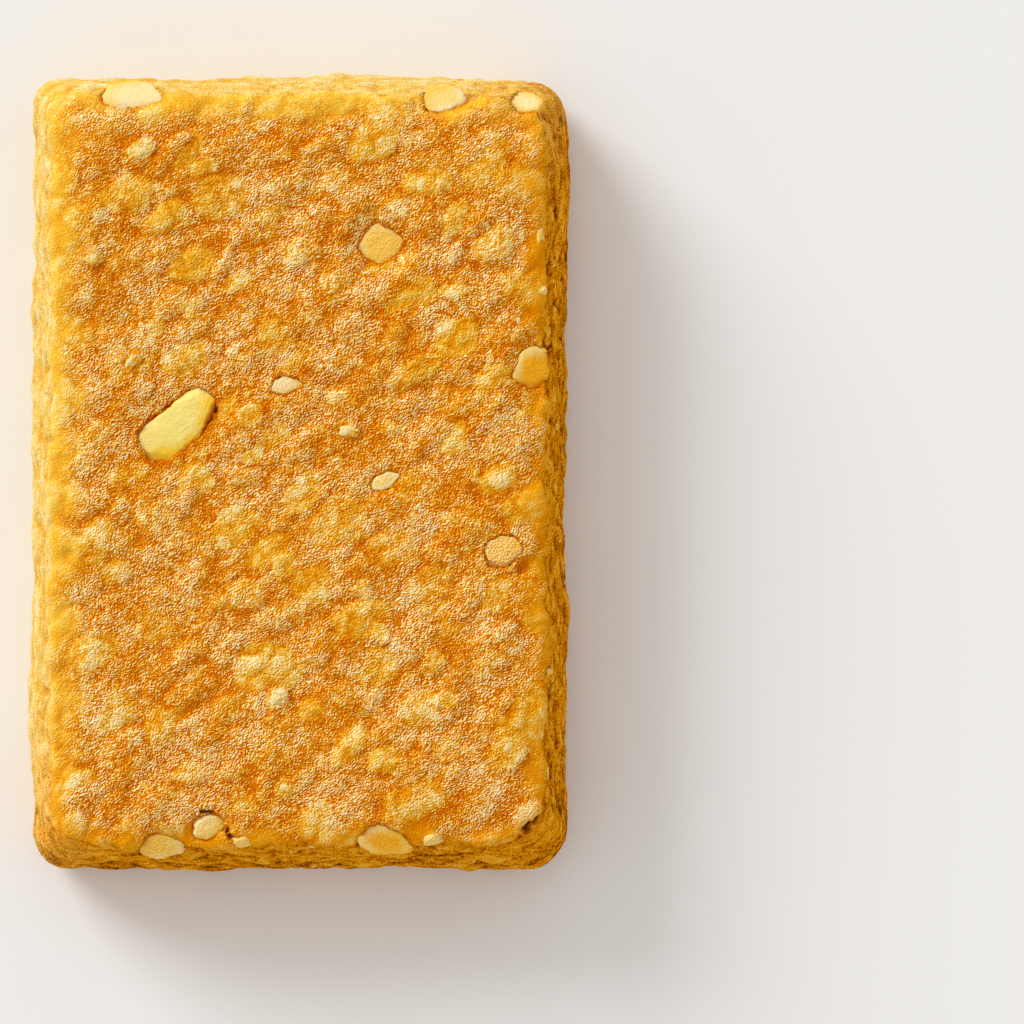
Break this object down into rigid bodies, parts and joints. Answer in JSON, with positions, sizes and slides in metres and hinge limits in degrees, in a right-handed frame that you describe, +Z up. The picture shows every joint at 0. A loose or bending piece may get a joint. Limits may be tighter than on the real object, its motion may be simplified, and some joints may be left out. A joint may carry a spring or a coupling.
{
  "type": "lemon bar",
  "caption": "Pressed lemon bar of chopped nuts in fruit paste: a low rectangular block with a rough top, flared sides and a flat base.",
  "frame": {"origin": "middle of the flat base, on the surface the bar lies on", "axes": "+Z up, +Y along the bar's length towards the top of the picture, +X across it towards the right of the picture"},
  "size_m": [0.0476, 0.0701, 0.0126],
  "materials": {
    "nut_paste": "moist pressed fruit and nut paste, satin with fine sparkle",
    "nut": "smooth raw cashew, satin"
  },
  "bodies": {
    "root": {"bar": "nut_paste", "cashew_piece": "nut", "nut_diamond": "nut", "nut_disc_right": "nut", "nut_lump_right": "nut", "nut_flake_front": "nut", "nut_flake_front_left": "nut", "nut_flake_back_left": "nut", "nut_flake_back": "nut", "nut_flake_back_right": "nut", "nut_leaf": "nut", "nut_scrap": "nut", "nut_shard_front": "nut"}
  },
  "joints": []
}
